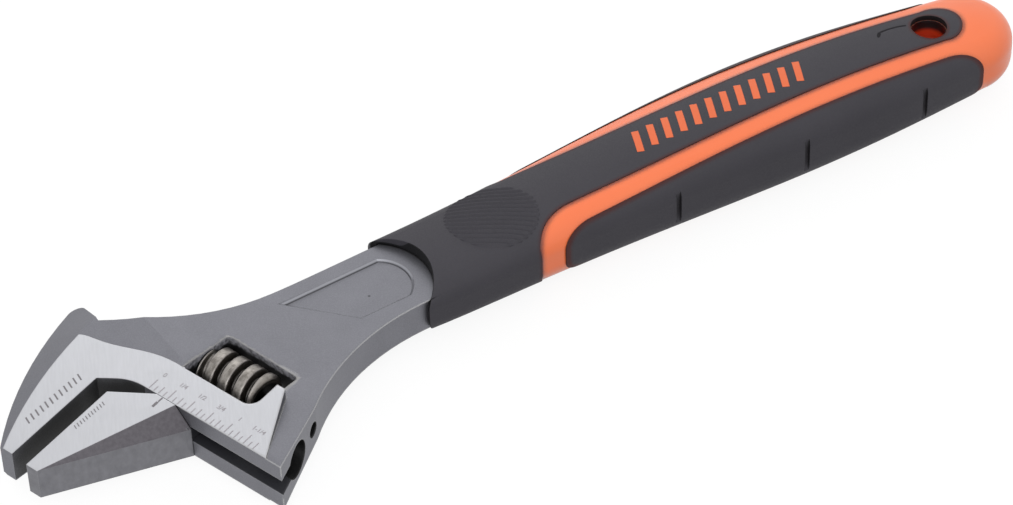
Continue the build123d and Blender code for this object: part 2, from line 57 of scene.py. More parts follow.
HOLE_CENTRE = Vector((0, 0, 0))
TO_END = Vector((1, 0, 0))       # from the head to the handle's end
TO_HEAD = Vector((-1, 0, 0))
TO_FAR = Vector((0, 1, 0))       # to the fixed jaw's side
HAIR = 0.05 * MM                 # margin round a face that is picked out by its place

# ---- The head, measured across the jaws and back to the handle from the throat corner

FACE_MOUNT_DEPTH = 18 * MM       # the jaw face's mount lies this far in front of the throat corner
across_way = Vector(mounts["fixed_jaw_face"]["axis"])
back_way = Vector((-across_way.y, across_way.x, 0))
throat_corner = Vector(mounts["fixed_jaw_face"]["pos_m"]) + back_way * FACE_MOUNT_DEPTH
REST_GAP = 5.4 * MM
SLIDE_BACK = 4.9 * MM            # throat corner to the slide face
SLIDE_HALF_THICKNESS = 7.6 * MM  # ground faces at the slide face
JAW_TAPER = math.tan(math.radians(4.5))
PAST_TIPS = -40 * MM             # back, a place beyond the jaws' tips
THROAT_END = 12 * MM             # across, where the painted shade on the throat's wall ends
WINDOW_ACROSS = (15.6 * MM, 39.2 * MM)
WINDOW_BACK = (15.3 * MM, 32.4 * MM)
RACK_BACK = 14.5 * MM            # the rack's axis
BORE_RADIUS = 5.0 * MM
BORE_START = -9.4 * MM
SLOT_START = 8.0 * MM            # across, the slot for the sliding jaw's web
SLOT_HALF = 2.5 * MM
WORM_BACK = 24.75 * MM           # the worm's axis
WORM_ROOT = 4.9 * MM
WORM_CREST = 7.25 * MM
WORM_WORN_END = (18.4 * MM, 17.4 * MM)   # across, over which the worm's end turns bright
PIN_HEAD_RADIUS = 2.05 * MM

# ---- The neck, the shank and the sleeve's mouth

NECK_TOP = Vector((-190, 0, 0)) * MM   # where the shank starts to thicken toward the head
NECK_RISE = 3.85 * MM / (45 * MM) ** 2
SHANK_TOP = 4.85 * MM            # half the shank's thickness
SHANK_TURN = math.radians(5.5)
SHANK_PLACE = Vector((-161.63, -9.22, 0)) * MM   # on the shank's middle line
SHANK_FAR_WAY = Vector((-math.sin(SHANK_TURN), math.cos(SHANK_TURN), 0))
SHANK_NEAR_EDGE = (-11 * MM, -12 * MM)   # across the shank, where its near edge starts and is full
PANEL_FLOOR = 4.15 * MM          # height of the sunk panel's floor
PANEL_ALONG = (-45 * MM, -4 * MM)
PANEL_UNSHADED = (-9 * MM, 3 * MM)  # across the shank, where the panel's edges get no painted joint shade
PANEL_WALL = (-2 * MM, 9.5 * MM)         # and where its wall is seen
PANEL_WALL_SHADE = (PANEL_FLOOR + 0.18 * MM, PANEL_FLOOR + 0.42 * MM)   # heights, painted shade to painted highlight
PANEL_PIT = Vector((-179.3, -12.7, 4.15)) * MM
PIT_RADII = (0.2 * MM, 0.5 * MM)
MOUTH_CENTRE = Vector((-178.55, -10.85, 0)) * MM
MOUTH_RADIUS = 17 * MM
LIP_ACROSS = (3 * MM, 10 * MM)   # over this stretch the mouth's lip comes down
LIP_HEIGHTS = (12 * MM, 5.7 * MM)

# ---- The handle

HOLE_RADIUS = 4.8 * MM
BEND_START = 20 * MM
BEND_RADIUS = 955 * MM
STRIPE_FRONT = (-116 * MM, -112 * MM)    # the orange stripes' front end
STRIPE_HALF = (15 * MM, 15.5 * MM)       # and their outer edges, from the handle's line


def head_point(across, back, height=0.0):
    """A place on the head, from the throat corner, in metres."""
    return throat_corner + across_way * across + back_way * back + Vector((0, 0, height))


def face_height(back):
    """Height of the ground faces of the head at this depth."""
    return SLIDE_HALF_THICKNESS + JAW_TAPER * (back - SLIDE_BACK)


# ---- Colours, linear

def grey(level, warm=0.0, violet=0.0):
    """Linear grey with a little warmth, or coolness when negative, and a little violet."""
    return (level * (1 + warm), level * (1 - violet), level * (1 - warm), 1)


def shades(level, spread, warm=0.0, violet=0.0):
    """Two greys, darker and lighter than a level by this share."""
    return [grey(level * (1 + side * spread), warm, violet) for side in (-1, 1)]


FORGED_TINT = (-0.055, 0.05)     # a coolness and a violet, for grey()
FLECK_TINT = (-0.05, 0.04)
GROUND_TINT = (-0.03, 0.02)
GRIME_TINT = (-0.05, 0.05)
# edge wear, and a painted highlight along the shank's near edge
WEAR_AND_HIGHLIGHT = grey(0.5)
# painted shade: the steel's colour where it is closed in at a joint
JOINT_SHADE = grey(0.02)
# painted shade: a dark dot where the shank has a small pit
PIT_SHADE = grey(0.05)
# painted shade: near black in the jaw gap, window, rack bore, pin hole and the sleeve's mouth
HOLLOW_SHADE = grey(0.006, -0.05, 0.03)
# painted shade: the walls of the slot for the sliding jaw's web
SLOT_SHADE = grey(0.035, -0.1, 0.08)
# painted shade: black down in the worm's thread
GROOVE_SHADE = grey(0.008, 0.1)
ORANGES = (0.98, 0.185, 0.052, 1), (1.0, 0.215, 0.068, 1)
PRINT_ORANGES = (0.80, 0.155, 0.055, 1), (0.90, 0.19, 0.075, 1)
RUBBERS = (0.038, 0.036, 0.044, 1), (0.053, 0.050, 0.060, 1)
RIB_RUBBERS = (0.036, 0.034, 0.042, 1), (0.048, 0.045, 0.055, 1)
# painted shade: a dark rubber for the line by the hang hole, in place of a groove's shade
GROOVE_SHADE_RUBBERS = (0.010, 0.009, 0.012, 1), (0.016, 0.014, 0.018, 1)
BROWN_LINE = (0.060, 0.010, 0.008, 1)
RED_LINE = (0.09, 0.012, 0.007, 1)
# painted shade down the orange wall of the hang hole, deep red below and black above
HOLE_SHADE_RED = (0.80, 0.060, 0.012, 1)
HOLE_SHADE_BLACK = (0.004, 0.004, 0.005, 1)
# painted shade: the rubber near black in its grooves and concave places
RUBBER_HOLLOW_SHADE = (0.008, 0.007, 0.009, 1)
# painted shade: near black inside the sleeve's mouth and down the hang hole
INNER_SHADE = (0.003, 0.003, 0.004, 1)


# ---- Materials

GROUND_BELOW = (0.12 * MM, 0.06 * MM)    # no further than this below a ground face it is ground
FORGED_BELOW = (0.12 * MM, 0.2 * MM)     # from here down lies forged skin
HOLLOW_BELOW = (0.1 * MM, 0.5 * MM)      # and over this depth the painted shade of a hollow comes in
WINDOW_BLACK = (2.9 * MM, 4.1 * MM)      # below the neck, where the painted shade on the window's walls turns black
WINDOW_RAGGED = 3 * MM                   # noise moves that line by up to this much
CREVICE_REACH = 14 * MM                  # the jaws count as close when they shade each other this near
CREVICE_SKY = (0.45, 0.85)               # share of open sky at which a crevice's painted shade is full, and gone
JOINT_SKY = (0.35, 0.85)                 # and the same for the painted shade in a joint between steel pieces
# share of open sky at which the rubber's painted shade is full, and gone
RUBBER_JOINT_SKY = (0.4, 0.9)
SHARP_EDGE, DULL_EDGE = 0.3 * MM, 0.75 * MM
RIM_EDGES = (0.9 * MM, 1.9 * MM)         # the window's rim is rounded by one of these, in patches
RIM_WIDTHS = (0.1 * MM, 0.9 * MM)        # and is bright over one of these
RIM_ABOVE = (4 * MM, 5 * MM)             # it starts over these heights
WORM_EDGE = 0.8 * MM
MOULD_EDGE = 0.35 * MM
RUBBER_SEAM, ORANGE_SEAM = 2.2 * MM, 2.8 * MM   # a seam's line is seen over about a third of this
EDGE_WEAR = (0.995, 0.86)        # cosines of a rounded edge's turn, where wear starts and is full
NOISE_ROUGHNESS = 0.55
NOISE_RANGE = (0.3, 0.7)         # most of a noise's values lie between these
BEVEL_SAMPLES, JOINT_SAMPLES = 6, 8
PLASTIC_GRAIN = (0.4 * MM, 0.01 * MM)    # size and depth
RUBBER_GRAIN = (0.35 * MM, 0.03 * MM)


class Shading:
    """Short ways to add and join the nodes of a shader tree."""

    def __init__(self, tree):
        self.tree = tree

    def add(self, kind, **settings):
        """A new node with these settings."""
        node = self.tree.nodes.new(kind)
        for name, value in settings.items():
            setattr(node, name, value)
        return node

    def join(self, source, socket):
        """Links a socket, or sets a plain value, into another socket."""
        if isinstance(source, bpy.types.NodeSocket):
            self.tree.links.new(source, socket)
        else:
            socket.default_value = source

    def maths(self, operation, first, second=0.0, third=0.0):
        """The result of one sum on numbers or sockets."""
        node = self.add("ShaderNodeMath", operation=operation)
        for value, socket in zip((first, second, third), node.inputs):
            self.join(value, socket)
        return node.outputs[0]

    def all_of(self, first, *others):
        """The product of several shares."""
        for other in others:
            first = self.maths("MULTIPLY", first, other)
        return first

    def any_of(self, first, *others):
        """The largest of several shares."""
        for other in others:
            first = self.maths("MAXIMUM", first, other)
        return first

    def seen(self):
        """1 for what the eye sees straight, in a reflection or through a clear piece, else 0."""
        path = self.add("ShaderNodeLightPath").outputs
        return self.any_of(path["Is Camera Ray"], path["Is Glossy Ray"], path["Is Transmission Ray"])


class Finish(Shading):
    """A procedural material whose patterns follow the place on the object."""

    def __init__(self, name, roughness, metallic=0.0, specular=0.5):
        self.material = bpy.data.materials.new(name)
        self.material.use_nodes = True
        super().__init__(self.material.node_tree)
        self.shader = self.tree.nodes["Principled BSDF"]
        self.shader.inputs["Roughness"].default_value = roughness
        self.shader.inputs["Metallic"].default_value = metallic
        self.shader.inputs["Specular IOR Level"].default_value = specular
        self.place = self.add("ShaderNodeTexCoord").outputs["Object"]

    def along(self, way, start=HOLE_CENTRE):
        """Distance along a direction from a place."""
        node = self.add("ShaderNodeVectorMath", operation="DOT_PRODUCT")
        self.join(self.place, node.inputs[0])
        node.inputs[1].default_value = way
        return self.maths("SUBTRACT", node.outputs["Value"], start.dot(way))

    def height(self):
        """Distance above or below the middle plane."""
        split = self.add("ShaderNodeSeparateXYZ")
        self.join(self.place, split.inputs[0])
        return self.maths("ABSOLUTE", split.outputs["Z"])

    def away(self, spot):
        """Distance from a spot."""
        node = self.add("ShaderNodeVectorMath", operation="DISTANCE")
        self.join(self.place, node.inputs[0])
        node.inputs[1].default_value = spot
        return node.outputs["Value"]

    def radius(self, first, second):
        """Length of two distances at right angles."""
        squares = self.maths("MULTIPLY_ADD", first, first, self.maths("MULTIPLY", second, second))
        return self.maths("SQRT", squares)

    def stretched(self, scale, turn):
        """Object place, turned in plan and stretched."""
        node = self.add("ShaderNodeMapping", vector_type="TEXTURE")
        node.inputs["Rotation"].default_value = (0, 0, turn)
        node.inputs["Scale"].default_value = scale
        self.join(self.place, node.inputs["Vector"])
        return node.outputs["Vector"]

    def noise(self, size, detail, place=None):
        """Noise with patches of about this size, in metres."""
        node = self.add("ShaderNodeTexNoise")
        node.inputs["Scale"].default_value = 1 / size
        node.inputs["Detail"].default_value = detail
        node.inputs["Roughness"].default_value = NOISE_ROUGHNESS
        self.join(self.place if place is None else place, node.inputs["Vector"])
        return node.outputs["Fac"]

    def ramp(self, value, low, high, start=0.0, end=1.0):
        """Maps low..high of a value to start..end, smoothly."""
        node = self.add("ShaderNodeMapRange", interpolation_type="SMOOTHSTEP")
        for source, socket in zip((value, low, high, start, end), node.inputs):
            self.join(source, socket)
        return node.outputs[0]

    def fade(self, value, low, high):
        """1 below a value's low limit and 0 above its high one."""
        return self.ramp(value, low, high, 1, 0)

    def between(self, value, low, high, soft=HAIR):
        """1 where a value lies between two limits, and 0 a soft width outside them."""
        above, below = self.ramp(value, low - soft, low), self.fade(value, high, high + soft)
        return self.maths("MULTIPLY", above, below)

    def within(self, value, limit, soft=HAIR):
        """1 where a value lies below a limit, and 0 a soft width above it."""
        return self.fade(value, limit, limit + soft)

    def mix(self, share, first, second):
        """Colour mix; first and second are colours or sockets."""
        node = self.add("ShaderNodeMix", data_type="RGBA")
        colours = [socket for socket in node.inputs if socket.type == "RGBA"]
        self.join(share, node.inputs["Factor"])
        self.join(first, colours[0])
        self.join(second, colours[1])
        return next(socket for socket in node.outputs if socket.type == "RGBA")

    def touch(self, share, strength, colour, other):
        """A colour with this strength of another where the share is 1."""
        return self.mix(self.maths("MULTIPLY", share, strength), colour, other)

    def bump(self, height, depth, normal=None):
        """Bump of this depth in metres, on top of another normal."""
        node = self.add("ShaderNodeBump")
        node.inputs["Distance"].default_value = depth
        self.join(height, node.inputs["Height"])
        if normal is not None:
            self.join(normal, node.inputs["Normal"])
        return node.outputs["Normal"]

    def soft_edge(self, radius):
        """(normal rounded over edges, share of edge wear) for this radius."""
        node = self.add("ShaderNodeBevel", samples=BEVEL_SAMPLES)
        self.join(radius, node.inputs["Radius"])
        flat = self.add("ShaderNodeNewGeometry").outputs["Normal"]
        dot = self.add("ShaderNodeVectorMath", operation="DOT_PRODUCT")
        self.join(node.outputs["Normal"], dot.inputs[0])
        self.join(flat, dot.inputs[1])
        return node.outputs["Normal"], self.ramp(dot.outputs["Value"], *EDGE_WEAR)

    def joint(self, reach, low, high):
        """Share of dirt in a joint, from the share of open sky within this reach."""
        node = self.add("ShaderNodeAmbientOcclusion", samples=JOINT_SAMPLES)
        node.inputs["Distance"].default_value = reach
        return self.fade(node.outputs["AO"], low, high)

    def colour(self, value):
        """Sets the base colour."""
        self.join(value, self.shader.inputs["Base Color"])


# ---- Where a place lies

def head_plan(finish):
    """Distances across the jaws and back to the handle, from the throat corner."""
    return finish.along(across_way, throat_corner), finish.along(back_way, throat_corner)


def below_face(finish):
    """How far a place lies below the ground face over it."""
    back = finish.along(back_way, throat_corner)
    face = finish.maths("MULTIPLY_ADD", back, JAW_TAPER, SLIDE_HALF_THICKNESS - JAW_TAPER * SLIDE_BACK)
    return finish.maths("SUBTRACT", face, finish.height())


def forged_skin(finish):
    """0 on the ground faces, and 1 on the forged skin below them."""
    return finish.ramp(below_face(finish), *FORGED_BELOW)


def below_neck(finish):
    """How far a place lies below the forged top of the neck."""
    past = finish.maths("MAXIMUM", finish.along(TO_HEAD, NECK_TOP), 0)
    rise = finish.maths("MULTIPLY", finish.maths("POWER", past, 2), NECK_RISE)
    return finish.maths("SUBTRACT", finish.maths("ADD", rise, SHANK_TOP), finish.height())


def beyond_window(finish):
    """How far a place lies outside the window's walls."""
    beyond = []
    for value, (low, high) in zip(head_plan(finish), (WINDOW_ACROSS, WINDOW_BACK)):
        from_middle = finish.maths("ABSOLUTE", finish.maths("SUBTRACT", value, (low + high) / 2))
        beyond.append(finish.maths("SUBTRACT", from_middle, (high - low) / 2))
    return finish.any_of(*beyond)


def in_window(finish):
    """1 on the window's walls."""
    return finish.fade(beyond_window(finish), HAIR, 2 * HAIR)


def shank_plan(finish):
    """Distances along the handle and to the far side of the shank's middle line."""
    return finish.along(TO_END, SHANK_PLACE), finish.along(SHANK_FAR_WAY, SHANK_PLACE)


def mouth_plan(finish):
    """Distances along and across the handle from the middle of the sleeve's mouth."""
    return finish.along(TO_END, MOUTH_CENTRE), finish.along(TO_FAR, MOUTH_CENTRE)


def from_hole(finish):
    """Distance from the axis of the hang hole."""
    return finish.radius(finish.along(TO_END), finish.along(TO_FAR))


def off_handle_line(finish):
    """How far a place lies to either side of the handle's bent line."""
    past = finish.maths("MAXIMUM", finish.along(TO_HEAD, TO_HEAD * BEND_START), 0)
    sag = finish.maths("MULTIPLY", finish.maths("POWER", past, 2), 0.5 / BEND_RADIUS)
    return finish.maths("ABSOLUTE", finish.maths("ADD", finish.along(TO_FAR), sag))


# ---- Where painted shade darkens the head

def crevice(finish):
    """1 where the jaws stand close to each other, and 0 where they stand open: the reach of the painted
    shade in the jaw gap.
    """
    return finish.joint(CREVICE_REACH, *CREVICE_SKY)


def head_hollows(finish, depth):
    """1 on the walls of the jaw gap, window, rack bore and pin hole of the head, which take painted
    shade.
    """
    across, back = head_plan(finish)
    gap = finish.all_of(finish.between(across, -HAIR, THROAT_END),
                        finish.between(back, PAST_TIPS, SLIDE_BACK + HAIR),
                        finish.ramp(depth, *HOLLOW_BELOW), crevice(finish))
    ragged = finish.maths("MULTIPLY_ADD", finish.noise(1.6 * MM, 3), WINDOW_RAGGED, below_neck(finish))
    window = finish.all_of(in_window(finish), finish.ramp(ragged, *WINDOW_BLACK))
    from_rack = finish.radius(finish.maths("SUBTRACT", back, RACK_BACK), finish.height())
    bore = finish.all_of(finish.within(from_rack, BORE_RADIUS + HAIR),
                         finish.ramp(across, BORE_START - 4 * HAIR, BORE_START))
    from_pin = finish.radius(finish.maths("SUBTRACT", back, WORM_BACK), finish.height())
    pin_hole = finish.within(from_pin, PIN_HEAD_RADIUS + 2 * HAIR)
    return finish.any_of(gap, window, bore, pin_hole)


def body_hollows(finish, depth):
    """1 in the head's hollows, and on the shank inside the sleeve's mouth, where a painted shadow of the
    mouth lies.
    """
    along, aside = mouth_plan(finish)
    # painted shadow: a dark ring on the shank just inside the sleeve's mouth
    mouth = finish.ramp(finish.radius(along, aside), MOUTH_RADIUS - 0.5 * MM, MOUTH_RADIUS + 0.1 * MM)
    return finish.any_of(head_hollows(finish, depth), finish.all_of(mouth, finish.ramp(along, 0, 2 * MM)))


def jaw_hollows(finish, depth):
    """1 on the sliding jaw's web and rack, and a little on its own face, where the jaws close in: for
    painted shade.
    """
    across, back = head_plan(finish)
    inside = finish.ramp(back, SLIDE_BACK + HAIR, SLIDE_BACK + 3 * HAIR)
    face = finish.all_of(finish.between(across, REST_GAP - HAIR, REST_GAP + HAIR),
                         finish.ramp(depth, *HOLLOW_BELOW, 0, 0.7))
    return finish.all_of(finish.any_of(inside, face), crevice(finish))


def slot_walls(finish):
    """1 on the walls of the slot the sliding jaw's web runs in, which are painted dark as shade."""
    across, back = head_plan(finish)
    return finish.all_of(finish.within(finish.height(), SLOT_HALF + HAIR),
                         finish.between(back, SLIDE_BACK + 2 * HAIR, RACK_BACK),
                         finish.ramp(across, SLOT_START - 1 * MM, SLOT_START))


def joint_shade_factor(finish):
    """A low share of painted joint shade on the near edges of the shank's panel, and 1 elsewhere."""
    along, aside = shank_plan(finish)
    panel = finish.all_of(finish.between(along, *PANEL_ALONG),
                          finish.between(aside, *PANEL_UNSHADED, 1 * MM))
    return finish.maths("SUBTRACT", 1, finish.maths("MULTIPLY", panel, 0.85))


# ---- How the head's edges are rounded, with wear, painted highlights and painted shade

def body_edge_radius(finish):
    """Sharp edges, but broad and soft round the window, and softer on the shank's near side."""
    rim = finish.all_of(finish.within(beyond_window(finish), 2 * MM, 1 * MM),
                        finish.ramp(finish.height(), *RIM_ABOVE), forged_skin(finish))
    broad = finish.ramp(finish.noise(3 * MM, 2), *NOISE_RANGE, *RIM_EDGES)
    _, aside = shank_plan(finish)
    shank = finish.ramp(aside, *SHANK_NEAR_EDGE, SHARP_EDGE, DULL_EDGE)
    return finish.maths("MULTIPLY_ADD", rim, broad, shank)


def jaw_edge_radius(finish):
    """Sharp edges all over."""
    return SHARP_EDGE


def body_wear_and_light(finish, colour, wear):
    """A lighter rim round the window, partly wear and partly painted highlight; a painted highlight on
    the shank's near edge; painted highlight and shade on its panel's wall; and a pit painted as a dark
    dot.
    """
    along, aside = shank_plan(finish)
    height = finish.height()
    # painted highlight along the shank's near edge, on top of the edge wear
    near_edge_highlight = finish.all_of(finish.ramp(aside, *SHANK_NEAR_EDGE),
                              finish.ramp(height, 3.5 * MM, 4.5 * MM))
    share = finish.maths("MULTIPLY_ADD", near_edge_highlight, 0.6, 0.25)
    colour = finish.mix(finish.maths("MULTIPLY", wear, share), colour, WEAR_AND_HIGHLIGHT)
    # a lighter rim round the window: partly wear, partly painted highlight
    width = finish.ramp(finish.noise(1.5 * MM, 2), *NOISE_RANGE, *RIM_WIDTHS)
    beyond = finish.maths("DIVIDE", beyond_window(finish), width)
    rim = finish.all_of(finish.fade(beyond, 0.3, 1.2), forged_skin(finish))
    colour = finish.touch(rim, 0.6, colour, grey(0.34, 0.02))
    # painted shade below and painted highlight above on the panel's far wall
    wall = finish.all_of(finish.between(height, PANEL_FLOOR + HAIR, SHANK_TOP - HAIR),
                         finish.between(aside, *PANEL_WALL, 2 * MM),
                         finish.between(along, *PANEL_ALONG))
    shaded = finish.mix(finish.ramp(height, *PANEL_WALL_SHADE), grey(0.05, -0.05, 0.05),
                        grey(0.36, -0.05, 0.04))
    colour = finish.touch(wall, 0.75, colour, shaded)
    # a dark dot painted for the shade of a small pit in the panel
    return finish.mix(finish.ramp(finish.away(PANEL_PIT), *PIT_RADII, 0.7, 0), colour, PIT_SHADE)


def jaw_wear_and_shade(finish, colour, wear):
    """The sliding jaw's bevel, painted darker and more violet than its side as shade from the way it
    faces, and streaks along the side.
    """
    split = finish.add("ShaderNodeSeparateXYZ")
    finish.join(finish.add("ShaderNodeNewGeometry").outputs["Normal"], split.inputs[0])
    lean = finish.maths("ABSOLUTE", split.outputs["Z"])
    streak = finish.noise(1.2 * MM, 4, finish.stretched((9, 1, 2), math.radians(-52)))
    # painted shade: the colour is picked by the way the surface faces, darker on the bevel
    bevel = finish.all_of(finish.ramp(lean, 0.1, 0.3), finish.fade(lean, 0.97, 0.985))
    bevel_shade = finish.mix(finish.noise(1.1 * MM, 4), grey(0.085, -0.02, 0.09), grey(0.15, -0.02, 0.07))
    brushed = finish.mix(streak, *shades(0.20, 0.25, -0.04, 0.04))
    colour = finish.mix(bevel, finish.mix(finish.fade(lean, 0.1, 0.3), colour, brushed), bevel_shade)
    return finish.touch(wear, 0.25, colour, WEAR_AND_HIGHLIGHT)


# ---- The steels

def head_steel(name, skin, hollows, wear_and_painted_light, edge_radius):
    """Forged steel under satin chrome, ground bright on the faces, with painted shade in its joints,
    hollows and slot.
    """
    finish = Finish(name, 0.42, metallic=1.0)
    depth = below_face(finish)
    ground = finish.ramp(depth, *GROUND_BELOW)
    blotch = finish.noise(9 * MM, 4)
    fine = finish.noise(0.35 * MM, 2)
    grain = finish.noise(0.5 * MM, 3, finish.stretched((1, 14, 1), math.radians(-22)))
    forged = finish.mix(blotch, *shades(skin, 0.12, *FORGED_TINT))
    forged = finish.mix(finish.ramp(fine, 0.35, 0.7, 0, 0.25), forged, grey(skin * 1.5, *FLECK_TINT))
    bright = finish.mix(grain, *shades(0.50, 0.08, *GROUND_TINT))
    bright = finish.mix(finish.ramp(blotch, 0.5, 0.8, 0, 0.25), bright, grey(0.40, *GROUND_TINT))
    normal, wear = finish.soft_edge(edge_radius(finish))
    # edge wear, with painted highlight and shade on the body and painted shade on the jaw's bevel
    colour = wear_and_painted_light(finish, finish.mix(ground, forged, bright), wear)
    grime = finish.all_of(in_window(finish), finish.ramp(below_neck(finish), HAIR, 4 * HAIR))
    patchy = finish.mix(finish.ramp(finish.noise(1.1 * MM, 4), 0.35, 0.65),
                        grey(0.12, *GRIME_TINT), grey(0.30, *GRIME_TINT))
    colour = finish.mix(grime, colour, patchy)
    # painted shade in the joints, from the open sky within 0.7 mm, kept off the panel's near edges
    joints = finish.maths("MULTIPLY", finish.joint(0.7 * MM, *JOINT_SKY), joint_shade_factor(finish))
    colour = finish.mix(joints, colour, JOINT_SHADE)
    # painted shade: the hollows turn near black
    dark = hollows(finish, depth)
    colour = finish.mix(dark, colour, HOLLOW_SHADE)
    # painted shade on the slot's walls
    slot = slot_walls(finish)
    finish.colour(finish.mix(slot, colour, SLOT_SHADE))
    # the window's grime, and the painted shade in hollows and slot, lower the metallic share
    grime_and_shade = finish.any_of(grime, slot, dark)
    finish.join(finish.ramp(grime_and_shade, 0, 1, 1, 0.1), finish.shader.inputs["Metallic"])
    finish.join(finish.ramp(ground, 0, 1, 0.5, 0.36), finish.shader.inputs["Roughness"])
    smoother = finish.ramp(ground, 0, 1, 1, 0.25)
    relief = finish.maths("MULTIPLY", finish.maths("ADD", fine, grain), smoother)
    finish.join(finish.bump(relief, 0.02 * MM, normal), finish.shader.inputs["Normal"])
    return finish.material


def worm_steel():
    """Oiled machined steel, with wear on the crests and painted shade black down in the grooves of the
    thread.
    """
    finish = Finish("oiled_worm_steel", 0.4, metallic=1.0)
    from_axis = finish.radius(finish.along(back_way, head_point(0, WORM_BACK)), finish.height())
    speck = finish.noise(0.6 * MM, 3)
    streak = finish.noise(0.5 * MM, 3, finish.stretched((8, 1, 1), math.radians(22)))
    flank = finish.mix(speck, grey(0.07, 0.12), grey(0.20, 0.14))
    crest = finish.mix(streak, grey(0.14, 0.05), grey(0.42, 0.08))
    stain = finish.ramp(finish.noise(1.8 * MM, 4), 0.45, 0.65, 0, 0.55)
    crest = finish.mix(stain, crest, grey(0.09, 0.14))
    on_crest = finish.ramp(from_axis, WORM_CREST - 1.3 * MM, WORM_CREST - 0.1 * MM)
    colour = finish.mix(on_crest, flank, crest)
    # painted shade: black toward the thread's root
    colour = finish.mix(finish.fade(from_axis, WORM_ROOT, WORM_ROOT + 0.8 * MM), colour, GROOVE_SHADE)
    across, _ = head_plan(finish)
    colour = finish.mix(finish.ramp(across, *WORM_WORN_END, 0, 0.75), colour, crest)
    normal, wear = finish.soft_edge(WORM_EDGE)
    finish.colour(finish.touch(wear, 0.3, colour, grey(0.6, 0.05)))
    finish.join(finish.bump(speck, 0.05 * MM, normal), finish.shader.inputs["Normal"])
    return finish.material


def plain_steel(name, level):
    """Plain turned steel for the pin and the spring."""
    finish = Finish(name, 0.35, metallic=1.0)
    speck = finish.noise(0.8 * MM, 2)
    finish.colour(finish.mix(speck, *shades(level, 0.2)))
    finish.join(finish.bump(speck, 0.01 * MM), finish.shader.inputs["Normal"])
    return finish.material


def etched_ink(name, level):
    """Grey etched marking on the ground faces."""
    finish = Finish(name, 0.6, metallic=0.3)
    finish.colour(finish.mix(finish.noise(0.3 * MM, 2), *shades(level, 0.2, violet=0.06)))
    return finish.material


# ---- The plastics and rubbers

def moulded(name, colours, roughness, grain, specular, shade=None, coat=0.0):
    """Moulded plastic or rubber with a fine sparked grain, and a darker shade where one is given."""
    finish = Finish(name, roughness, specular=specular)
    grain_size, grain_depth = grain
    spark = finish.noise(grain_size, 2)
    colour = finish.mix(finish.noise(22 * MM, 3), *colours)
    normal, _ = finish.soft_edge(MOULD_EDGE)
    finish.colour(shade(finish, colour) if shade else colour)
    finish.join(finish.ramp(spark, *NOISE_RANGE, roughness - 0.06, roughness + 0.06),
                finish.shader.inputs["Roughness"])
    finish.join(finish.bump(spark, grain_depth, normal), finish.shader.inputs["Normal"])
    finish.shader.inputs["Coat Weight"].default_value = coat
    finish.shader.inputs["Coat Roughness"].default_value = 0.3
    return finish.material


def rubber_shades(finish, colour):
    """A brown line along the joints with the orange, painted shade in the rubber's grooves, and painted
    shade near black inside the sleeve's mouth and the hang hole.
    """
    along, aside = mouth_plan(finish)
    lip = finish.ramp(aside, *LIP_ACROSS, *LIP_HEIGHTS)
    above_lip = finish.maths("SUBTRACT", finish.height(), lip)
    mouth = finish.all_of(finish.within(finish.radius(along, aside), MOUTH_RADIUS + HAIR),
                          finish.fade(above_lip, 0, 0.3 * MM))
    # painted shade inside the mouth, below its lip, and down the hang hole
    inner_shade = finish.any_of(mouth, finish.within(from_hole(finish), HOLE_RADIUS + 0.25 * MM))
    _, seam = finish.soft_edge(RUBBER_SEAM)
    stripes = finish.any_of(finish.fade(finish.along(TO_END), *STRIPE_FRONT),
                            finish.fade(off_handle_line(finish), *STRIPE_HALF))
    past_mouth, _ = shank_plan(finish)
    rim = finish.all_of(seam, stripes, finish.ramp(past_mouth, 10 * MM, 20 * MM))
    colour = finish.touch(rim, 0.9, colour, BROWN_LINE)
    # painted shade in the rubber's grooves and concave places, from the open sky within 2 mm
    colour = finish.mix(finish.joint(2 * MM, *RUBBER_JOINT_SKY), colour, RUBBER_HOLLOW_SHADE)
    return finish.mix(inner_shade, colour, INNER_SHADE)


def orange_shades(finish, colour):
    """Dark red in the joints with the black rubber, and painted shade down the wall of the hang hole:
    deep red below, black above.
    """
    _, seam = finish.soft_edge(ORANGE_SEAM)
    colour = finish.mix(seam, colour, RED_LINE)
    # painted shade on the hang hole's wall
    wall = finish.mix(finish.ramp(finish.height(), 5 * MM, 7 * MM), HOLE_SHADE_RED, HOLE_SHADE_BLACK)
    return finish.mix(finish.within(from_hole(finish), HOLE_RADIUS + HAIR), colour, wall)


# ---- A finish for each CAD node, and those of the laid pieces

printed = moulded("printed_orange", PRINT_ORANGES, 0.55, PLASTIC_GRAIN, 0.3)
rib_rubber = moulded("rib_rubber", RIB_RUBBERS, 0.65, RUBBER_GRAIN, 0.35)
groove_shade_rubber = moulded("groove_shade_rubber", GROOVE_SHADE_RUBBERS, 0.7, RUBBER_GRAIN, 0.2)
ink = etched_ink("etched_marking", 0.38)
dark_ink = etched_ink("etched_hatching", 0.20)
black_rubber = moulded("soft_black_rubber", RUBBERS, 0.65, RUBBER_GRAIN, 0.35, rubber_shades)
finishes = {
    "wrench_body": head_steel("forged_body_steel", 0.19, body_hollows, body_wear_and_light, body_edge_radius),
    "sliding_jaw": head_steel("forged_jaw_steel", 0.17, jaw_hollows, jaw_wear_and_shade, jaw_edge_radius),
    "knurl": worm_steel(),
    "knurl_pin": plain_steel("pin_steel", 0.025),
    "knurl_spring": plain_steel("spring_steel", 0.15),
    "grip_core": moulded("orange_plastic", ORANGES, 0.42, PLASTIC_GRAIN, 0.5, orange_shades, coat=0.5),
    "grip_sleeve": black_rubber,
    "side_pad_far": black_rubber,
    "side_pad_near": black_rubber,
}
for node, finish in finishes.items():
    nodes[node].data.materials.clear()
    nodes[node].data.materials.append(finish)


# ---- Making and placing pieces

